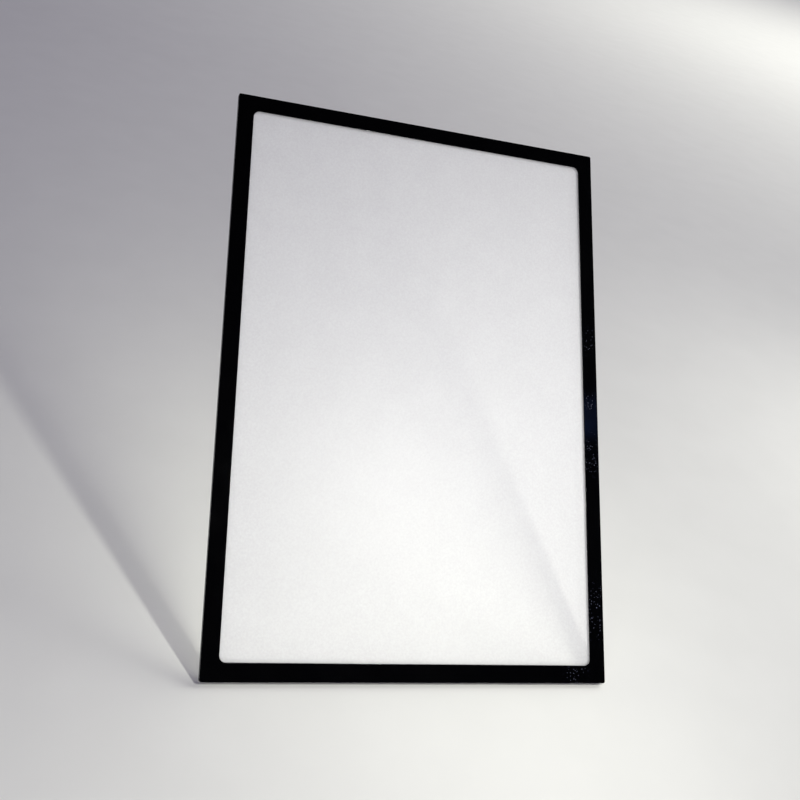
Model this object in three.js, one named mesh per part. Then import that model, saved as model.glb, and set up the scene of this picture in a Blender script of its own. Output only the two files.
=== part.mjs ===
// Magnetic document pocket. A rear leaf clings to a steel board by four magnet strips, and a framed
// front leaf opens like a cover about a folded hinge strip on the right. Strips of magnet rubber on
// the other three sides hold the two leaves shut round the sheet.
//
// Millimetres, +X to the right, +Y into the board, +Z up. The origin is the middle of the top board
// magnet's back face.

import * as THREE from "three";

// The sheet that the pocket holds, and the play on each side of it
const sheetWidth = 210;
const sheetHeight = 297;
const sheetPlay = 1;

// Closing strips round the sheet
const stripWidth = 4.5;
const stripInset = 0.5;
const stripEndGap = 0.5;

// Frames
const barWidth = 9;
const windowCornerRadius = 3.5;
const outerCornerRadius = 1;
const frameBevel = 0.1;

// Films, cut a little smaller than the frames
const filmInset = 0.2;
const filmCornerRadius = 0.8;

// Board magnets, set in from the edges of the rear frame's bars
const boardMagnetInset = 1;
const boardMagnetEndGap = 1;

// Layers, from the board to the front
const boardMagnetThickness = 0.8;
const tapeThickness = 0.15;
const rearFrameThickness = 0.4;
const filmThickness = 0.2;
const keeperThickness = 0.4;
const closingGap = 0.05;
const closingMagnetThickness = 0.5;
const frontFrameThickness = 0.5;

// Folded hinge strip, and how far outside the edge its turning axis lies
const hingeThickness = 0.25;
const hingeFoldInset = 0.1;
const hingeAxisOffset = 0.1;

// Roundness of arcs
const cornerSegments = 8;
const foldSegments = 10;
const bevelSegments = 2;

// Sizes that follow
const edgeToSheet = stripInset + stripWidth + sheetPlay;
const outerWidth = sheetWidth + 2 * edgeToSheet;
const outerHeight = sheetHeight + 2 * edgeToSheet;
const boardMagnetWidth = barWidth - 2 * boardMagnetInset;
const boardMagnetHeight = outerHeight / 2 - barWidth / 2;

// Distance of each layer's back from the board
const boardTapeDepth = boardMagnetThickness;
const rearFrameDepth = boardTapeDepth + tapeThickness;
const rearFilmDepth = rearFrameDepth + rearFrameThickness;
const keeperTapeDepth = rearFilmDepth + filmThickness;
const keeperDepth = keeperTapeDepth + tapeThickness;
const closingMagnetDepth = keeperDepth + keeperThickness + closingGap;
const closingTapeDepth = closingMagnetDepth + closingMagnetThickness;
const frontFilmDepth = closingTapeDepth + tapeThickness;
const frontFrameDepth = frontFilmDepth + filmThickness;

// The hinge turns between the keepers and the closing magnets
const hingeAxisX = outerWidth / 2 + hingeAxisOffset;
const hingeAxisDepth = closingMagnetDepth - closingGap / 2;

const quarterTurn = Math.PI / 2;

const blackSheetPvc = { color: 0x0a0a0d, roughness: 0.22, metalness: 0 };
const frostedFilm = { color: 0xf1f2f5, roughness: 0.6, metalness: 0, transparent: true, opacity: 0.5 };
const magnetRubber = { color: 0x2a2827, roughness: 0.8, metalness: 0 };
const acrylicTape = { color: 0xd9d6cc, roughness: 0.5, metalness: 0 };
const softBlackPvc = { color: 0x111114, roughness: 0.4, metalness: 0 };

// A named piece whose geometry starts at its own back face, set at a depth from the board
function piece(name, geometry, finish, depth) {
  const mesh = new THREE.Mesh(geometry, new THREE.MeshStandardMaterial(finish));
  mesh.name = name;
  mesh.position.z = depth;
  return mesh;
}

// Draws a rectangle with round corners on a shape or a hole, centred on the pocket's middle
function roundedRectangle(path, width, height, radius) {
  const x = width / 2 - radius;
  const y = height / 2 - radius;
  path.absarc(x, y, radius, 0, quarterTurn);
  path.absarc(-x, y, radius, quarterTurn, 2 * quarterTurn);
  path.absarc(-x, -y, radius, 2 * quarterTurn, 3 * quarterTurn);
  path.absarc(x, -y, radius, 3 * quarterTurn, 4 * quarterTurn);
  path.closePath();
  return path;
}

// One-piece ring of black PVC with a bevelled edge, round the window
function frameGeometry(thickness) {
  const shape = roundedRectangle(new THREE.Shape(), outerWidth, outerHeight, outerCornerRadius);
  const windowWidth = outerWidth - 2 * barWidth;
  const windowHeight = outerHeight - 2 * barWidth;
  shape.holes.push(roundedRectangle(new THREE.Path(), windowWidth, windowHeight, windowCornerRadius));
  const geometry = new THREE.ExtrudeGeometry(shape, {
    depth: thickness - 2 * frameBevel,
    curveSegments: cornerSegments,
    bevelEnabled: true,
    bevelThickness: frameBevel,
    bevelSize: frameBevel,
    bevelOffset: -frameBevel,
    bevelSegments,
  });
  geometry.translate(0, 0, frameBevel);
  return geometry;
}

// Film sheet that covers the window and is welded to the frame's bars
function filmGeometry() {
  const width = outerWidth - 2 * filmInset;
  const height = outerHeight - 2 * filmInset;
  const shape = roundedRectangle(new THREE.Shape(), width, height, filmCornerRadius);
  return new THREE.ExtrudeGeometry(shape, {
    depth: filmThickness,
    curveSegments: cornerSegments,
    bevelEnabled: false,
  });
}

// Straight strip between two opposite corners
function stripGeometry(place, thickness) {
  const width = place.right - place.left;
  const height = place.top - place.bottom;
  const geometry = new THREE.BoxGeometry(width, height, thickness);
  geometry.translate(place.left + width / 2, place.bottom + height / 2, thickness / 2);
  return geometry;
}

// Where the closing strips lie on both leaves. The hinge strip takes the fourth side.
const stripOuterX = outerWidth / 2 - stripInset;
const stripOuterY = outerHeight / 2 - stripInset;
const stripInnerX = stripOuterX - stripWidth;
const stripInnerY = stripOuterY - stripWidth;
const closingPlaces = {
  top: {
    left: -stripOuterX,
    right: stripInnerX - stripEndGap,
    bottom: stripInnerY,
    top: stripOuterY,
  },
  bottom: {
    left: -stripOuterX,
    right: stripInnerX - stripEndGap,
    bottom: -stripOuterY,
    top: -stripInnerY,
  },
  left: {
    left: -stripOuterX,
    right: -stripInnerX,
    bottom: -stripInnerY + stripEndGap,
    top: stripInnerY - stripEndGap,
  },
};

// Where the board magnets lie behind the rear frame's bars
const boardOuterX = outerWidth / 2 - boardMagnetInset;
const boardOuterY = outerHeight / 2 - boardMagnetInset;
const boardInnerX = boardOuterX - boardMagnetWidth;
const boardInnerY = boardOuterY - boardMagnetWidth;
const boardPlaces = {
  top: { left: -boardOuterX, right: boardOuterX, bottom: boardInnerY, top: boardOuterY },
  bottom: { left: -boardOuterX, right: boardOuterX, bottom: -boardOuterY, top: -boardInnerY },
  left: {
    left: -boardOuterX,
    right: -boardInnerX,
    bottom: -boardInnerY + boardMagnetEndGap,
    top: boardInnerY - boardMagnetEndGap,
  },
  right: {
    left: boardInnerX,
    right: boardOuterX,
    bottom: -boardInnerY + boardMagnetEndGap,
    top: boardInnerY - boardMagnetEndGap,
  },
};

// Soft PVC strip folded once along the right edge, one flange welded to each film
function hingeGeometry() {
  const outerRadius = (frontFilmDepth - keeperTapeDepth) / 2;
  const innerRadius = outerRadius - hingeThickness;
  const foldX = outerWidth / 2 - hingeFoldInset - outerRadius;
  const section = new THREE.Shape();
  section.moveTo(stripInnerX, -outerRadius);
  section.absarc(foldX, 0, outerRadius, -quarterTurn, quarterTurn);
  section.lineTo(stripInnerX, outerRadius);
  section.lineTo(stripInnerX, innerRadius);
  section.absarc(foldX, 0, innerRadius, quarterTurn, -quarterTurn, true);
  section.lineTo(stripInnerX, -innerRadius);
  section.closePath();
  const length = 2 * stripOuterY;
  const geometry = new THREE.ExtrudeGeometry(section, {
    depth: length,
    curveSegments: foldSegments,
    bevelEnabled: false,
  });
  geometry.rotateX(quarterTurn);
  geometry.translate(0, length / 2, outerRadius);
  return geometry;
}

// Rear leaf, against the board
const rearLeaf = new THREE.Group();
for (const [side, place] of Object.entries(boardPlaces)) {
  const magnet = stripGeometry(place, boardMagnetThickness);
  const tape = stripGeometry(place, tapeThickness);
  rearLeaf.add(piece("board_magnet_" + side, magnet, magnetRubber, 0));
  rearLeaf.add(piece("board_tape_" + side, tape, acrylicTape, boardTapeDepth));
}
rearLeaf.add(piece("rear_frame", frameGeometry(rearFrameThickness), blackSheetPvc, rearFrameDepth));
rearLeaf.add(piece("rear_film", filmGeometry(), frostedFilm, rearFilmDepth));
for (const [side, place] of Object.entries(closingPlaces)) {
  const tape = stripGeometry(place, tapeThickness);
  const keeper = stripGeometry(place, keeperThickness);
  rearLeaf.add(piece("keeper_tape_" + side, tape, acrylicTape, keeperTapeDepth));
  rearLeaf.add(piece("keeper_" + side, keeper, magnetRubber, keeperDepth));
}
rearLeaf.add(piece("hinge_strip", hingeGeometry(), softBlackPvc, keeperTapeDepth));

// Front leaf. Its group turns about the hinge axis.
const frontLeaf = new THREE.Group();
frontLeaf.position.set(hingeAxisX, 0, hingeAxisDepth);
function addToFrontLeaf(name, geometry, finish, depth) {
  geometry.translate(-hingeAxisX, 0, 0);
  frontLeaf.add(piece(name, geometry, finish, depth - hingeAxisDepth));
}
for (const [side, place] of Object.entries(closingPlaces)) {
  const magnet = stripGeometry(place, closingMagnetThickness);
  const tape = stripGeometry(place, tapeThickness);
  addToFrontLeaf("closing_magnet_" + side, magnet, magnetRubber, closingMagnetDepth);
  addToFrontLeaf("closing_tape_" + side, tape, acrylicTape, closingTapeDepth);
}
addToFrontLeaf("front_film", filmGeometry(), frostedFilm, frontFilmDepth);
addToFrontLeaf("front_frame", frameGeometry(frontFrameThickness), blackSheetPvc, frontFrameDepth);

// Upright on its board: depth runs towards -Y, and the top board magnet is at the origin
const pocket = new THREE.Group();
pocket.name = "document_pocket";
pocket.rotation.x = quarterTurn;
pocket.position.z = -boardMagnetHeight;
pocket.add(rearLeaf, frontLeaf);

export default pocket;
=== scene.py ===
import math

import bpy
from mathutils import Matrix, Vector


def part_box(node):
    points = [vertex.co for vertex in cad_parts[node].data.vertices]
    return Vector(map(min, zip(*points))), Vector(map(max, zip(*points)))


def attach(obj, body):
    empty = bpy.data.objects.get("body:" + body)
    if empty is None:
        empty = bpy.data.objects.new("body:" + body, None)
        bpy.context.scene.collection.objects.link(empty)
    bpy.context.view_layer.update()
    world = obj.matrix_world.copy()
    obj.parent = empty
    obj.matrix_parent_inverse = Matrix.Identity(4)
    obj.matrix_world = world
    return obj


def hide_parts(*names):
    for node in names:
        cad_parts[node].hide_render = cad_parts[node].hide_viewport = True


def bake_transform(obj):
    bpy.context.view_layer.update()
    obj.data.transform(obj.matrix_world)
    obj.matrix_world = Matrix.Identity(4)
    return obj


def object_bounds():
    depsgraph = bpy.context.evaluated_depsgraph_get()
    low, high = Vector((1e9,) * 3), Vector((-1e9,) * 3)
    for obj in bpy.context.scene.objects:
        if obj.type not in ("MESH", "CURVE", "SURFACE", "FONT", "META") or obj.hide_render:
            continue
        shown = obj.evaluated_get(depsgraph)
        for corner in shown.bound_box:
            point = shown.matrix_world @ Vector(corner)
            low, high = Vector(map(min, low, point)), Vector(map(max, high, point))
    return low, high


# Magnetic document pocket. The frames, the magnet strips and the folded hinge strip are finer pieces in
# the places of their CAD solids. The films and tapes keep their CAD shapes and get their materials here.
# Metres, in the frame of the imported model: +X to the right, +Y into the board, +Z up.

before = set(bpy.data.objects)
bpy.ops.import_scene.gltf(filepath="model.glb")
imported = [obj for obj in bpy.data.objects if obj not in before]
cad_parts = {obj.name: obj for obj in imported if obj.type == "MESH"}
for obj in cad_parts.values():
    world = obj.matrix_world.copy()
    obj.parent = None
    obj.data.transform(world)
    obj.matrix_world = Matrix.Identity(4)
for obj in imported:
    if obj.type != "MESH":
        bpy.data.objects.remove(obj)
cad_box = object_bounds()

MM = 0.001

# Frames: die-cut rings, with the corners of the CAD model
BAR_WIDTH = 9 * MM
OUTER_CORNER_RADIUS = 1 * MM
WINDOW_CORNER_RADIUS = 3.5 * MM
FRAME_EDGE_RADIUS = 0.1 * MM
CORNER_STEPS = 12
EDGE_STEPS = 4

# Patches of dust on the frames: x, z and reach in millimetres
DUST_PATCHES = ((106.5, -114, 12), (106.5, -150, 9), (106.5, -180, 18), (106.5, -267, 22), (94, -300, 11))

# Films: the share of the scattered light that goes on through the film
SCATTERED_THROUGH = 0.35

# Films and lamps: the share of a lamp's light that passes, away from the bars and close beside them, and the
# width over which it changes, as a share of the height above the floor
LAMP_LIGHT_PASSED = 0.98
LAMP_LIGHT_BESIDE_BARS = 0.4
LIGHT_SPREAD = 0.14

# Room in front of the rear film, to tell the two films apart
FILM_ROOM = 0.1 * MM

# Magnet strips: the extruder's die leaves shallow grooves along them
STRIP_EDGE_RADIUS = 0.08 * MM
DIE_GROOVE_PITCH = 0.75 * MM
DIE_GROOVE_DEPTH = 0.03 * MM
STRIP_SECTION_CUTS = 60
STREAK_LENGTH_TO_WIDTH = 50

# Hinge: one strip of soft PVC folded along the right edge
HINGE_THICKNESS = 0.25 * MM
HINGE_EDGE_RADIUS = 0.05 * MM
FOLD_STEPS = 32

# Shapes: points closer than this become one, and a face or point counts as flat from this share upwards
WELD_DISTANCE = 0.001 * MM
FLAT_SHARE = 0.999

# Camera, as the photograph was taken: place and aim in millimetres. The lens shift is that of a picture cut
# from the lower right of a larger one.
CAMERA_PLACE = (-193.3, -475.6, -247.3)
CAMERA_AIM = (-49.5, -3.5, -127.6)
CAMERA_ROLL = math.radians(2.25)
CAMERA_LENS = 42.34
CAMERA_SHIFT = (0.08, -0.08)
CAMERA_NEAR = 10 * MM

# Floor: it passes under the bottom edge and rises behind the pocket at this angle from its back
FLOOR_ANGLE = math.radians(45)
FLOOR_REACH = 12.0

# Black cloth in front of the pocket, for its gloss
CLOTH_DISTANCE = 1.5
CLOTH_SIDE = 6.0

# Lamps: place, aim and side in millimetres, power in watts, colour
POCKET_MIDDLE = (0, -3.5, -150)
LAMPS = {
    "key_lamp": ((84, -290, -179), POCKET_MIDDLE, 20, 0.67, "#fffffc"),
    "fill_lamp": ((-250, -450, -620), POCKET_MIDDLE, 250, 2.6, "#fffffc"),
    "left_lamp": ((-600, -600, -720), POCKET_MIDDLE, 400, 1.6, "#fffffc"),
    "side_lamp": ((600, -150, 0), (250, 100, -150), 300, 1.1, "#fffffc"),
    "right_lamp": ((1266, -343, 768), POCKET_MIDDLE, 960, 2.6, "#fffffc"),
    "far_lamp": ((2500, -300, 2500), (2500, 1100, 1100), 2000, 68, "#fffffc"),
    "farther_lamp": ((3000, 679, 4617), (3000, 2800, 2495), 2500, 45, "#fffffc"),
    "blue_pane": ((478, -592, -50), POCKET_MIDDLE, 40, 0.002, "#6f98ff"),
}


def linear(hex_colour):
    """An sRGB hex colour as linear RGBA."""
    parts = [int(hex_colour[i:i + 2], 16) / 255 for i in (1, 3, 5)]
    return [c / 12.92 if c <= 0.04045 else ((c + 0.055) / 1.055) ** 2.4 for c in parts] + [1.0]


def per_mm(size):
    """Texture scale at which one cell of a pattern is this many millimetres."""
    return 1 / (size * MM)


def add(tree, kind, settings, inputs):
    """Adds a node, with its inputs set or linked by their identifiers. Returns its first output in use."""
    node = tree.nodes.new(kind)
    for name, value in settings.items():
        setattr(node, name, value)
    sockets = {socket.identifier: socket for socket in node.inputs}
    for name, value in inputs.items():
        if isinstance(value, bpy.types.NodeSocket):
            tree.links.new(value, sockets[name])
        else:
            sockets[name].default_value = value
    return next((socket for socket in node.outputs if socket.enabled), None)


def maths(tree, operation, *values, kind="ShaderNodeMath"):
    """Adds a node that works out this operation on one to three values."""
    identifiers = ("Value", "Value_001", "Value_002")
    return add(tree, kind, {"operation": operation}, dict(zip(identifiers, values)))


def whole_maths(tree, operation, *values):
    """The same for whole numbers."""
    return maths(tree, operation, *values, kind="FunctionNodeIntegerMath")


# Materials

def new_material(name):
    """An empty node material, with the tree and the object's own coordinates."""
    material = bpy.data.materials.new(name)
    material.use_nodes = True
    tree = material.node_tree
    tree.nodes.clear()
    place = add(tree, "ShaderNodeTexCoord", {}, {}).node.outputs["Object"]
    return material, tree, place


def calendered_pvc():
    """Rigid black PVC sheet, rolled between polished steel rolls and die-cut. The rolls leave a gloss with
    long shallow waves, and its static draws fine dust in patches."""
    material, tree, place = new_material("calendered_black_pvc")
    roll_waves = add(tree, "ShaderNodeTexNoise", {}, {"Vector": place, "Scale": per_mm(24), "Detail": 1.0})
    skin = add(tree, "ShaderNodeTexNoise", {}, {"Vector": place, "Scale": per_mm(0.7), "Detail": 2.0})
    wiped = add(tree, "ShaderNodeTexNoise", {}, {"Vector": place, "Scale": per_mm(14), "Detail": 3.0})

    # Real dust is a tenth of this size. It is drawn as coarse as it needs to show.
    grains = add(tree, "ShaderNodeTexVoronoi", {}, {"Vector": place, "Scale": per_mm(1.0)})
    grain_kind = add(tree, "ShaderNodeSeparateColor", {}, {"Color": grains.node.outputs["Color"]})
    grain_size = add(
        tree, "ShaderNodeMapRange", {},
        {"Value": grain_kind, "From Min": 0.2, "From Max": 1.0, "To Min": 0.0, "To Max": 0.3},
    )
    grain = maths(tree, "LESS_THAN", grains, grain_size)
    patch = 0.0
    for x, z, reach in DUST_PATCHES:
        away = add(
            tree, "ShaderNodeVectorMath", {"operation": "DISTANCE"},
            {"Vector": place, "Vector_001": Vector((x, 0, z)) * MM},
        )
        near = add(
            tree, "ShaderNodeMapRange", {"interpolation_type": "SMOOTHSTEP"},
            {"Value": away, "From Min": reach * MM, "From Max": 0.0},
        )
        patch = maths(tree, "MAXIMUM", near, patch)
    dust = maths(tree, "MULTIPLY", grain, patch)

    colour = add(
        tree, "ShaderNodeMix", {"data_type": "RGBA"},
        {"Factor_Float": dust, "A_Color": linear("#020203"), "B_Color": linear("#4a4e62")},
    )
    gloss = add(
        tree, "ShaderNodeMapRange", {},
        {"Value": wiped, "From Min": 0.3, "From Max": 0.7, "To Min": 0.09, "To Max": 0.15},
    )
    roughness = maths(tree, "MAXIMUM", gloss, dust)
    waves = add(
        tree, "ShaderNodeBump", {}, {"Height": roll_waves, "Strength": 0.35, "Distance": 0.25 * MM}
    )
    surface = add(
        tree, "ShaderNodeBump", {},
        {"Height": skin, "Normal": waves, "Strength": 0.25, "Distance": 0.01 * MM},
    )
    shader = add(
        tree, "ShaderNodeBsdfPrincipled", {},
        {"Base Color": colour, "Roughness": roughness, "IOR": 1.53, "Normal": surface},
    )
    add(tree, "ShaderNodeOutputMaterial", {}, {"Surface": shader})
    return material


def frosted_film():
    """Clear PVC film, rolled between a matt and a polished roll. Its frosted front spreads the light that
    passes, so it is milky white with a fine sandy grain, and throws almost no shadow."""
    material, tree, place = new_material("frosted_pvc_film")

    # The matt roll's grit is about 0.05 mm. It is drawn as coarse as it needs to show.
    grit = add(tree, "ShaderNodeTexNoise", {}, {"Vector": place, "Scale": per_mm(1.1), "Detail": 2.0})
    clouds = add(tree, "ShaderNodeTexNoise", {}, {"Vector": place, "Scale": per_mm(22), "Detail": 2.0})
    frost = add(
        tree, "ShaderNodeMapRange", {},
        {"Value": clouds, "From Min": 0.3, "From Max": 0.7, "To Min": 0.435, "To Max": 0.455},
    )

    # A ray that comes from inside the film sees its normals turned round
    seen = add(tree, "ShaderNodeSeparateXYZ", {}, {"Vector": place.node.outputs["Normal"]}).node.outputs["Y"]
    inside = add(tree, "ShaderNodeNewGeometry", {}, {}).node.outputs["Backfacing"]
    side = maths(tree, "MULTIPLY_ADD", inside, -2.0, 1.0)
    backwards = maths(tree, "MULTIPLY", seen, side)
    matt = maths(tree, "LESS_THAN", backwards, 0.5)
    haze = maths(tree, "MULTIPLY", frost, matt)
    roughness = add(
        tree, "ShaderNodeMapRange", {},
        {"Value": grit, "From Min": 0.25, "From Max": 0.75, "To Min": 0.4, "To Max": 0.54},
    )
    white = add(
        tree, "ShaderNodeMix", {"data_type": "RGBA"},
        {"Factor_Float": grit, "A_Color": linear("#d9d9d9"), "B_Color": linear("#eeeeee")},
    )
    relief = add(tree, "ShaderNodeBump", {}, {"Height": grit, "Strength": 0.1, "Distance": 0.03 * MM})
    face = add(
        tree, "ShaderNodeBsdfPrincipled", {},
        {"Base Color": white, "Roughness": roughness, "IOR": 1.5, "Normal": relief},
    )
    spread = add(tree, "ShaderNodeBsdfTranslucent", {}, {"Color": white, "Normal": relief})
    milk = add(
        tree, "ShaderNodeMixShader", {}, {"Fac": SCATTERED_THROUGH, "Shader": face, "Shader_001": spread}
    )
    clear = add(tree, "ShaderNodeBsdfTransparent", {}, {})
    veil = add(tree, "ShaderNodeMixShader", {}, {"Fac": haze, "Shader": clear, "Shader_001": milk})

    # What the film scatters forwards still reaches the floor, so lamps see it almost clear. But scattering
    # softens the bars' shadows on their film side, so lamps see the rear film darker towards the bars.
    parts = add(tree, "ShaderNodeSeparateXYZ", {}, {"Vector": place}).node.outputs
    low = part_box("rear_film")[0]
    aside = maths(tree, "ABSOLUTE", parts["X"])
    from_bar = maths(tree, "SUBTRACT", cad_box[1][0] - BAR_WIDTH, aside)
    above_floor = maths(tree, "SUBTRACT", parts["Z"], cad_box[0][2])
    away = maths(tree, "DIVIDE", from_bar, above_floor)
    fade = maths(tree, "MULTIPLY", away, -1 / LIGHT_SPREAD)
    caught = maths(tree, "EXPONENT", fade)
    rear = maths(tree, "GREATER_THAN", parts["Y"], low.y - FILM_ROOM)
    lost = maths(tree, "MULTIPLY", caught, rear)
    left_over = add(
        tree, "ShaderNodeMapRange", {},
        {"Value": lost, "To Min": LAMP_LIGHT_PASSED, "To Max": LAMP_LIGHT_BESIDE_BARS},
    )
    lamp_ray = add(tree, "ShaderNodeLightPath", {}, {}).node.outputs["Is Shadow Ray"]
    passed = add(tree, "ShaderNodeBsdfTransparent", {}, {"Color": left_over})
    film = add(tree, "ShaderNodeMixShader", {}, {"Fac": lamp_ray, "Shader": veil, "Shader_001": passed})
    add(tree, "ShaderNodeOutputMaterial", {}, {"Surface": film})
    return material


def ferrite_rubber():
    """Rubber filled with ferrite powder and extruded as a strip. It is a dull brownish black, streaked along
    its length by the die, with pale powder specks."""
    material, tree, place = new_material("extruded_ferrite_rubber")
    along = add(tree, "ShaderNodeAttribute", {"attribute_name": "along"}, {}).node.outputs["Fac"]
    across = add(tree, "ShaderNodeAttribute", {"attribute_name": "across"}, {}).node.outputs["Fac"]
    strip = add(tree, "ShaderNodeCombineXYZ", {}, {"X": along, "Y": across})
    drawn = add(
        tree, "ShaderNodeMapping", {"vector_type": "POINT"},
        {"Vector": strip, "Scale": (1 / STREAK_LENGTH_TO_WIDTH, 1.0, 1.0)},
    )
    streaks = add(tree, "ShaderNodeTexNoise", {}, {"Vector": drawn, "Scale": per_mm(0.5), "Detail": 3.0})
    powder = add(tree, "ShaderNodeTexNoise", {}, {"Vector": place, "Scale": per_mm(0.35), "Detail": 1.0})
    specks = add(
        tree, "ShaderNodeMapRange", {},
        {"Value": powder, "From Min": 0.66, "From Max": 0.74, "To Min": 0.0, "To Max": 0.5},
    )
    streaked = add(
        tree, "ShaderNodeMix", {"data_type": "RGBA"},
        {"Factor_Float": streaks, "A_Color": linear("#1b1918"), "B_Color": linear("#383432")},
    )
    colour = add(
        tree, "ShaderNodeMix", {"data_type": "RGBA"},
        {"Factor_Float": specks, "A_Color": streaked, "B_Color": linear("#6a625c")},
    )
    roughness = add(
        tree, "ShaderNodeMapRange", {},
        {"Value": streaks, "From Min": 0.3, "From Max": 0.7, "To Min": 0.58, "To Max": 0.78},
    )
    relief = add(tree, "ShaderNodeBump", {}, {"Height": streaks, "Strength": 0.3, "Distance": 0.03 * MM})
    shader = add(
        tree, "ShaderNodeBsdfPrincipled", {},
        {"Base Color": colour, "Roughness": roughness, "IOR": 1.55, "Normal": relief},
    )
    add(tree, "ShaderNodeOutputMaterial", {}, {"Surface": shader})
    return material


def acrylic_tape():
    """Double-sided acrylic tape, slit from a wide roll. A thin yellowish line of glue between strip and
    sheet, with small bubbles along the cut."""
    material, tree, place = new_material("slit_acrylic_tape")
    bubbles = add(tree, "ShaderNodeTexVoronoi", {}, {"Vector": place, "Scale": per_mm(0.8)})
    bubble = add(tree, "ShaderNodeMapRange", {}, {"Value": bubbles, "From Min": 0.1, "From Max": 0.4})
    colour = add(
        tree, "ShaderNodeMix", {"data_type": "RGBA"},
        {"Factor_Float": bubble, "A_Color": linear("#efece4"), "B_Color": linear("#d9d5ca")},
    )
    relief = add(tree, "ShaderNodeBump", {}, {"Height": bubble, "Strength": 0.4, "Distance": 0.05 * MM})
    shader = add(
        tree, "ShaderNodeBsdfPrincipled", {},
        {"Base Color": colour, "Roughness": 0.42, "IOR": 1.47, "Normal": relief},
    )
    add(tree, "ShaderNodeOutputMaterial", {}, {"Surface": shader})
    return material


def embossed_soft_pvc():
    """Soft black PVC band, embossed with a fine pebble grain and welded to the films. Satin, a little greyer
    than the frames."""
    material, tree, place = new_material("embossed_soft_pvc")
    pebbles = add(
        tree, "ShaderNodeTexVoronoi", {"feature": "SMOOTH_F1"}, {"Vector": place, "Scale": per_mm(0.45)}
    )
    wear = add(tree, "ShaderNodeTexNoise", {}, {"Vector": place, "Scale": per_mm(6), "Detail": 3.0})
    colour = add(
        tree, "ShaderNodeMix", {"data_type": "RGBA"},
        {"Factor_Float": wear, "A_Color": linear("#0b0b0d"), "B_Color": linear("#1a1a1e")},
    )
    roughness = add(
        tree, "ShaderNodeMapRange", {},
        {"Value": wear, "From Min": 0.3, "From Max": 0.7, "To Min": 0.36, "To Max": 0.5},
    )
    relief = add(
        tree, "ShaderNodeBump", {"invert": True}, {"Height": pebbles, "Strength": 0.5, "Distance": 0.04 * MM}
    )
    shader = add(
        tree, "ShaderNodeBsdfPrincipled", {},
        {"Base Color": colour, "Roughness": roughness, "IOR": 1.52, "Normal": relief},
    )
    add(tree, "ShaderNodeOutputMaterial", {}, {"Surface": shader})
    return material


# Geometry Nodes

def new_shape_tree(name, sizes):
    """A geometry tree with these named inputs, given as name and socket type, and its input node."""
    tree = bpy.data.node_groups.new(name, "GeometryNodeTree")
    tree.interface.new_socket("Geometry", in_out="INPUT", socket_type="NodeSocketGeometry")
    for size, kind in sizes.items():
        tree.interface.new_socket(size, in_out="INPUT", socket_type=kind)
    tree.interface.new_socket("Geometry", in_out="OUTPUT", socket_type="NodeSocketGeometry")
    return tree, tree.nodes.new("NodeGroupInput").outputs


def end_shape_tree(tree, shape, finish):
    """The last nodes of a shape tree: one plain mesh with its material."""
    realized = add(tree, "GeometryNodeRealizeInstances", {}, {"Geometry": shape})
    finished = add(tree, "GeometryNodeSetMaterial", {}, {"Geometry": realized, "Material": finish})
    output = tree.nodes.new("NodeGroupOutput")
    tree.links.new(finished, output.inputs["Geometry"])


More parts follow.
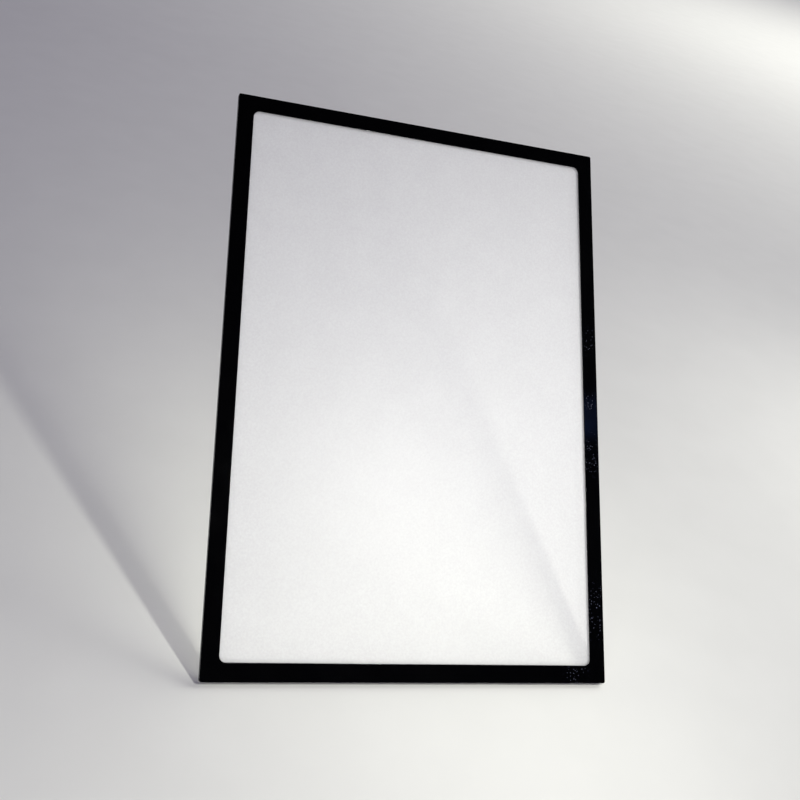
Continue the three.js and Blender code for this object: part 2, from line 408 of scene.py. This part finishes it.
def frame_ring_tree():
    """A flat ring between two rectangles with round corners. A section with rounded edges runs round it, and
    each of its points lies at a set share of the way from the outer edge to the window."""
    tree, sizes = new_shape_tree("frame_ring", {
        "Width": "NodeSocketFloat",
        "Height": "NodeSocketFloat",
        "Thickness": "NodeSocketFloat",
        "Bar Width": "NodeSocketFloat",
        "Outer Corner Radius": "NodeSocketFloat",
        "Window Corner Radius": "NodeSocketFloat",
        "Edge Radius": "NodeSocketFloat",
        "Centre": "NodeSocketVector",
        "Finish": "NodeSocketMaterial",
    })
    two_bars = maths(tree, "MULTIPLY", sizes["Bar Width"], 2.0)
    window_width = maths(tree, "SUBTRACT", sizes["Width"], two_bars)
    window_height = maths(tree, "SUBTRACT", sizes["Height"], two_bars)
    outlines = []
    for width, height, radius, steps in (
        (sizes["Width"], sizes["Height"], sizes["Outer Corner Radius"], CORNER_STEPS),
        (window_width, window_height, sizes["Window Corner Radius"], CORNER_STEPS),
        (sizes["Bar Width"], sizes["Thickness"], sizes["Edge Radius"], EDGE_STEPS),
    ):
        square = add(tree, "GeometryNodeCurvePrimitiveQuadrilateral", {}, {"Width": width, "Height": height})
        outlines.append(add(
            tree, "GeometryNodeFilletCurve", {"mode": "POLY"},
            {"Curve": square, "Count": steps, "Radius": radius},
        ))
    outer, window, section = outlines

    # A grid has one row for each point round the ring and one column for each point of the section
    ring_points, section_points = [
        add(tree, "GeometryNodeAttributeDomainSize", {"component": "CURVE"}, {"Geometry": curve})
        for curve in (outer, section)
    ]
    rows = whole_maths(tree, "ADD", ring_points, 1)
    columns = whole_maths(tree, "ADD", section_points, 1)
    grid = add(tree, "GeometryNodeMeshGrid", {}, {"Vertices X": rows, "Vertices Y": columns})
    index = add(tree, "GeometryNodeInputIndex", {}, {})
    row = whole_maths(tree, "DIVIDE_FLOOR", index, columns)
    column = whole_maths(tree, "MODULO", index, columns)

    # The last row and column fall on the first ones, which closes the ring and the section
    ring_step = whole_maths(tree, "MODULO", row, ring_points)
    section_step = whole_maths(tree, "MODULO", column, section_points)
    position = add(tree, "GeometryNodeInputPosition", {}, {})
    outer_point, window_point, section_point = [
        add(
            tree, "GeometryNodeSampleIndex", {"data_type": "FLOAT_VECTOR"},
            {"Geometry": curve, "Value": position, "Index": step},
        )
        for curve, step in ((outer, ring_step), (window, ring_step), (section, section_step))
    ]
    section_parts = add(tree, "ShaderNodeSeparateXYZ", {}, {"Vector": section_point}).node.outputs
    from_middle = maths(tree, "DIVIDE", section_parts["X"], sizes["Bar Width"])
    share = maths(tree, "ADD", from_middle, 0.5)
    flat = add(
        tree, "ShaderNodeMix", {"data_type": "VECTOR"},
        {"Factor_Float": share, "A_Vector": outer_point, "B_Vector": window_point},
    )
    flat_parts = add(tree, "ShaderNodeSeparateXYZ", {}, {"Vector": flat}).node.outputs
    upright = add(
        tree, "ShaderNodeCombineXYZ", {},
        {"X": flat_parts["X"], "Y": section_parts["Y"], "Z": flat_parts["Y"]},
    )
    place = add(
        tree, "ShaderNodeVectorMath", {"operation": "ADD"},
        {"Vector": upright, "Vector_001": sizes["Centre"]},
    )
    ring = add(tree, "GeometryNodeSetPosition", {}, {"Geometry": grid, "Position": place})
    closed = add(tree, "GeometryNodeMergeByDistance", {}, {"Geometry": ring, "Distance": WELD_DISTANCE})

    # Only the rounded edges are smooth, so the flat faces stay flat
    normal = add(tree, "GeometryNodeInputNormal", {}, {})
    facing = add(tree, "ShaderNodeSeparateXYZ", {}, {"Vector": normal}).node.outputs["Y"]
    tilt = maths(tree, "ABSOLUTE", facing)
    rounded = add(tree, "FunctionNodeCompare", {"operation": "LESS_THAN"}, {"A": tilt, "B": FLAT_SHARE})
    smooth = add(tree, "GeometryNodeSetShadeSmooth", {}, {"Geometry": closed, "Shade Smooth": rounded})
    end_shape_tree(tree, smooth, sizes["Finish"])
    return tree


def magnet_strip_tree():
    """A strip of this section along each edge of the mesh it is given. Both faces have the die's grooves.
    The attributes along and across are the distances on the strip in metres."""
    tree, sizes = new_shape_tree("magnet_strip", {
        "Width": "NodeSocketFloat",
        "Thickness": "NodeSocketFloat",
        "Edge Radius": "NodeSocketFloat",
        "Groove Pitch": "NodeSocketFloat",
        "Groove Depth": "NodeSocketFloat",
        "Finish": "NodeSocketMaterial",
    })
    lines = add(tree, "GeometryNodeMeshToCurve", {}, {"Mesh": sizes["Geometry"]})
    upright = add(
        tree, "GeometryNodeSetCurveNormal", {"mode": "FREE"}, {"Curve": lines, "Normal": (0.0, -1.0, 0.0)}
    )
    length = add(tree, "GeometryNodeSplineParameter", {}, {}).node.outputs["Length"]
    paths = add(
        tree, "GeometryNodeStoreNamedAttribute", {}, {"Geometry": upright, "Name": "along", "Value": length}
    )

    square = add(
        tree, "GeometryNodeCurvePrimitiveQuadrilateral", {},
        {"Width": sizes["Thickness"], "Height": sizes["Width"]},
    )
    rounded = add(
        tree, "GeometryNodeFilletCurve", {"mode": "POLY"},
        {"Curve": square, "Count": EDGE_STEPS, "Radius": sizes["Edge Radius"]},
    )
    fine = add(tree, "GeometryNodeSubdivideCurve", {}, {"Curve": rounded, "Cuts": STRIP_SECTION_CUTS})
    position = add(tree, "GeometryNodeInputPosition", {}, {})
    parts = add(tree, "ShaderNodeSeparateXYZ", {}, {"Vector": position}).node.outputs
    turns = maths(tree, "DIVIDE", parts["Y"], sizes["Groove Pitch"])
    angle = maths(tree, "MULTIPLY", turns, 2 * math.pi)
    wave = maths(tree, "COSINE", angle)
    dip = add(
        tree, "ShaderNodeMapRange", {},
        {"Value": wave, "From Min": 1.0, "From Max": -1.0, "To Min": 0.0, "To Max": sizes["Groove Depth"]},
    )
    side = maths(tree, "SIGN", parts["X"])
    inwards = maths(tree, "MULTIPLY", side, dip)
    shift = maths(tree, "MULTIPLY", inwards, -1.0)
    offset = add(tree, "ShaderNodeCombineXYZ", {}, {"X": shift})

    # Grooves only on the two broad faces
    depth = maths(tree, "ABSOLUTE", parts["X"])
    twice = maths(tree, "MULTIPLY", depth, 2.0)
    share = maths(tree, "DIVIDE", twice, sizes["Thickness"])
    on_face = add(tree, "FunctionNodeCompare", {"operation": "GREATER_THAN"}, {"A": share, "B": FLAT_SHARE})
    grooved = add(
        tree, "GeometryNodeSetPosition", {}, {"Geometry": fine, "Selection": on_face, "Offset": offset}
    )
    section = add(
        tree, "GeometryNodeStoreNamedAttribute", {},
        {"Geometry": grooved, "Name": "across", "Value": parts["Y"]},
    )
    strips = add(
        tree, "GeometryNodeCurveToMesh", {}, {"Curve": paths, "Profile Curve": section, "Fill Caps": True}
    )
    end_shape_tree(tree, strips, sizes["Finish"])
    return tree


def folded_strip_tree():
    """A strip of this height and thickness, folded round the corners of the line it is given."""
    tree, sizes = new_shape_tree("folded_strip", {
        "Height": "NodeSocketFloat",
        "Thickness": "NodeSocketFloat",
        "Fold Radius": "NodeSocketFloat",
        "Edge Radius": "NodeSocketFloat",
        "Finish": "NodeSocketMaterial",
    })
    line = add(tree, "GeometryNodeMeshToCurve", {}, {"Mesh": sizes["Geometry"]})
    fold = add(
        tree, "GeometryNodeFilletCurve", {"mode": "POLY"},
        {"Curve": line, "Count": FOLD_STEPS, "Radius": sizes["Fold Radius"]},
    )
    upright = add(
        tree, "GeometryNodeSetCurveNormal", {"mode": "FREE"}, {"Curve": fold, "Normal": (0.0, 0.0, 1.0)}
    )
    square = add(
        tree, "GeometryNodeCurvePrimitiveQuadrilateral", {},
        {"Width": sizes["Height"], "Height": sizes["Thickness"]},
    )
    section = add(
        tree, "GeometryNodeFilletCurve", {"mode": "POLY"},
        {"Curve": square, "Count": EDGE_STEPS, "Radius": sizes["Edge Radius"]},
    )
    strip = add(
        tree, "GeometryNodeCurveToMesh", {}, {"Curve": upright, "Profile Curve": section, "Fill Caps": True}
    )
    smooth = add(tree, "GeometryNodeSetShadeSmooth", {}, {"Geometry": strip, "Shade Smooth": True})
    end_shape_tree(tree, smooth, sizes["Finish"])
    return tree


def shaped(name, tree, sizes, points=(), edges=()):
    """A plain mesh object at the origin, made by a shape tree from a mesh of points and edges."""
    mesh = bpy.data.meshes.new(name)
    mesh.from_pydata(points, edges, [])
    piece = bpy.data.objects.new(name, mesh)
    bpy.context.scene.collection.objects.link(piece)
    modifier = piece.modifiers.new(name, "NODES")
    modifier.node_group = tree
    for socket in tree.interface.items_tree:
        if socket.name in sizes:
            modifier[socket.identifier] = sizes[socket.name]
    evaluated = piece.evaluated_get(bpy.context.evaluated_depsgraph_get())
    finished = bpy.data.meshes.new_from_object(evaluated)
    piece.modifiers.remove(modifier)
    piece.data = finished
    return piece


# Pieces

def add_frame(name, node, body, tree, finish):
    """A framed leaf's black ring, in the box of its CAD node."""
    low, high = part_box(node)
    size = high - low
    piece = shaped(name, tree, {
        "Width": size.x,
        "Height": size.z,
        "Thickness": size.y,
        "Bar Width": BAR_WIDTH,
        "Outer Corner Radius": OUTER_CORNER_RADIUS,
        "Window Corner Radius": WINDOW_CORNER_RADIUS,
        "Edge Radius": FRAME_EDGE_RADIUS,
        "Centre": (low + high) / 2,
        "Finish": finish,
    })
    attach(piece, body)
    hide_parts(node)


def add_strips(name, nodes, body, tree, finish):
    """The magnet strips of one layer, each along the middle of its CAD node."""
    points = []
    edges = []
    for node in nodes:
        low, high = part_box(node)
        size = high - low
        width = min(size.x, size.z)
        middle = (low + high) / 2
        half = Vector((size.x / 2, 0, 0)) if size.x > size.z else Vector((0, 0, size.z / 2))
        edges.append((len(points), len(points) + 1))
        points += [middle - half, middle + half]
    piece = shaped(name, tree, {
        "Width": width,
        "Thickness": size.y,
        "Edge Radius": STRIP_EDGE_RADIUS,
        "Groove Pitch": DIE_GROOVE_PITCH,
        "Groove Depth": DIE_GROOVE_DEPTH,
        "Finish": finish,
    }, points, edges)
    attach(piece, body)
    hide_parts(*nodes)


def add_hinge(finish):
    """The folded strip that joins the leaves."""
    low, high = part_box("hinge_strip")
    half = HINGE_THICKNESS / 2
    middle = (low + high) / 2
    back = high.y - half
    front = low.y + half
    fold = high.x - half
    line = [(low.x, back), (fold, back), (fold, front), (low.x, front)]
    points = [(x, y, middle.z) for x, y in line]
    piece = shaped("folded_hinge", folded_strip_tree(), {
        "Height": high.z - low.z,
        "Thickness": HINGE_THICKNESS,
        "Fold Radius": (back - front) / 2,
        "Edge Radius": HINGE_EDGE_RADIUS,
        "Finish": finish,
    }, points, [(0, 1), (1, 2), (2, 3)])
    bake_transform(piece)
    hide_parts("hinge_strip")


pvc = calendered_pvc()
film = frosted_film()
rubber = ferrite_rubber()
tape = acrylic_tape()
soft_pvc = embossed_soft_pvc()

ring_tree = frame_ring_tree()
add_frame("front_ring", "front_frame", "front_leaf", ring_tree, pvc)
add_frame("rear_ring", "rear_frame", "rear_leaf", ring_tree, pvc)

CLOSED_SIDES = ("top", "bottom", "left")
ALL_SIDES = ("top", "bottom", "left", "right")
strip_tree = magnet_strip_tree()
for name, start, sides, body in (
    ("closing_strips", "closing_magnet_", CLOSED_SIDES, "front_leaf"),
    ("keeper_strips", "keeper_", CLOSED_SIDES, "rear_leaf"),
    ("board_strips", "board_magnet_", ALL_SIDES, "rear_leaf"),
):
    add_strips(name, [start + side for side in sides], body, strip_tree, rubber)
add_hinge(soft_pvc)

# Films and tapes keep their CAD shapes
for name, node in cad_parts.items():
    if name.endswith("_film"):
        node.material_slots[0].material = film
    elif "_tape_" in name:
        node.material_slots[0].material = tape


# Stage

def add_stage_sheet(name, middle, across, up, material):
    """A flat four-cornered sheet of the stage."""
    mesh = bpy.data.meshes.new(name)
    corners = [middle - across - up, middle + across - up, middle + across + up, middle - across + up]
    mesh.from_pydata(corners, [], [(0, 1, 2, 3)])
    mesh.materials.append(material)
    sheet = bpy.data.objects.new(name, mesh)
    bpy.context.scene.collection.objects.link(sheet)
    return sheet


def add_floor():
    """A pale paper sheet that rises behind the pocket. It shows its upper face only, so that it doesn't hide
    the pocket from behind."""
    material, tree, place = new_material("pale_paper")
    fibres = add(tree, "ShaderNodeTexNoise", {}, {"Vector": place, "Scale": per_mm(40), "Detail": 4.0})
    colour = add(
        tree, "ShaderNodeMix", {"data_type": "RGBA"},
        {"Factor_Float": fibres, "A_Color": linear("#e2e3da"), "B_Color": linear("#e8e9e0")},
    )
    paper = add(tree, "ShaderNodeBsdfDiffuse", {}, {"Color": colour})
    clear = add(tree, "ShaderNodeBsdfTransparent", {}, {})
    behind = add(tree, "ShaderNodeNewGeometry", {}, {}).node.outputs["Backfacing"]
    one_sided = add(tree, "ShaderNodeMixShader", {}, {"Fac": behind, "Shader": paper, "Shader_001": clear})
    add(tree, "ShaderNodeOutputMaterial", {}, {"Surface": one_sided})

    low, high = cad_box
    foot = Vector((0, high[1], low[2]))
    across = Vector((FLOOR_REACH / 2, 0, 0))
    rise = Vector((0, math.sin(FLOOR_ANGLE), math.cos(FLOOR_ANGLE))) * FLOOR_REACH / 2
    add_stage_sheet("floor", foot, across, rise, material)


def add_lamp(name, place, aim, size, power, colour):
    """A square soft lamp, which the camera itself doesn't see."""
    light = bpy.data.lights.new(name, "AREA")
    light.size = size
    light.energy = power
    light.color = linear(colour)[:3]
    lamp = bpy.data.objects.new(name, light)
    lamp.matrix_world = aimed(place, aim, 0)
    lamp.visible_camera = False
    bpy.context.scene.collection.objects.link(lamp)


def aimed(place, aim, roll):
    """The matrix of a camera or lamp that looks from place to aim."""
    turn = (aim - place).to_track_quat("-Z", "Y").to_matrix().to_4x4()
    return Matrix.Translation(place) @ turn @ Matrix.Rotation(roll, 4, "Z")


def add_world():
    """Even light from all round, with a pale backdrop for whatever looks straight at it, reflects it or lets
    it through."""
    world = bpy.data.worlds.new("studio")
    world.use_nodes = True
    tree = world.node_tree
    tree.nodes.clear()
    rays = add(tree, "ShaderNodeLightPath", {}, {}).node.outputs
    shown = rays["Is Camera Ray"]
    for other_ray in ("Is Glossy Ray", "Is Transmission Ray"):
        shown = maths(tree, "MAXIMUM", shown, rays[other_ray])
    around = add(tree, "ShaderNodeBackground", {}, {"Color": linear("#a489ff"), "Strength": 0.12})
    backdrop = add(tree, "ShaderNodeBackground", {}, {"Color": linear("#dededd"), "Strength": 1.0})
    studio = add(tree, "ShaderNodeMixShader", {}, {"Fac": shown, "Shader": around, "Shader_001": backdrop})
    add(tree, "ShaderNodeOutputWorld", {}, {"Surface": studio})
    bpy.context.scene.world = world


def add_black_cloth():
    """A black cloth hung across the room in front of the pocket. Only gloss shows it, and it keeps the bars
    black, as a photographer does."""
    material, tree, place = new_material("black_velvet")
    pile = add(tree, "ShaderNodeTexNoise", {}, {"Vector": place, "Scale": per_mm(30), "Detail": 2.0})
    colour = add(
        tree, "ShaderNodeMix", {"data_type": "RGBA"},
        {"Factor_Float": pile, "A_Color": linear("#030304"), "B_Color": linear("#0b0b0e")},
    )
    velvet = add(tree, "ShaderNodeBsdfDiffuse", {}, {"Color": colour})
    add(tree, "ShaderNodeOutputMaterial", {}, {"Surface": velvet})
    across = Vector((CLOTH_SIDE / 2, 0, 0))
    up = Vector((0, 0, CLOTH_SIDE / 2))
    middle = Vector((0, -CLOTH_DISTANCE, 0))
    cloth = add_stage_sheet("black_cloth", middle, across, up, material)
    cloth.visible_camera = False
    cloth.visible_diffuse = False
    cloth.visible_transmission = False
    cloth.visible_volume_scatter = False
    cloth.visible_shadow = False


def add_camera():
    """The photograph's camera."""
    lens = bpy.data.cameras.new("camera")
    lens.lens = CAMERA_LENS
    lens.shift_x, lens.shift_y = CAMERA_SHIFT
    lens.clip_start = CAMERA_NEAR
    camera = bpy.data.objects.new("camera", lens)
    camera.matrix_world = aimed(Vector(CAMERA_PLACE) * MM, Vector(CAMERA_AIM) * MM, CAMERA_ROLL)
    bpy.context.scene.collection.objects.link(camera)
    bpy.context.scene.camera = camera


add_floor()
add_black_cloth()
add_world()
for name, (place, aim, side, power, colour) in LAMPS.items():
    add_lamp(name, Vector(place) * MM, Vector(aim) * MM, side * MM, power, colour)
add_camera()
bpy.context.scene.view_settings.view_transform = "Standard"
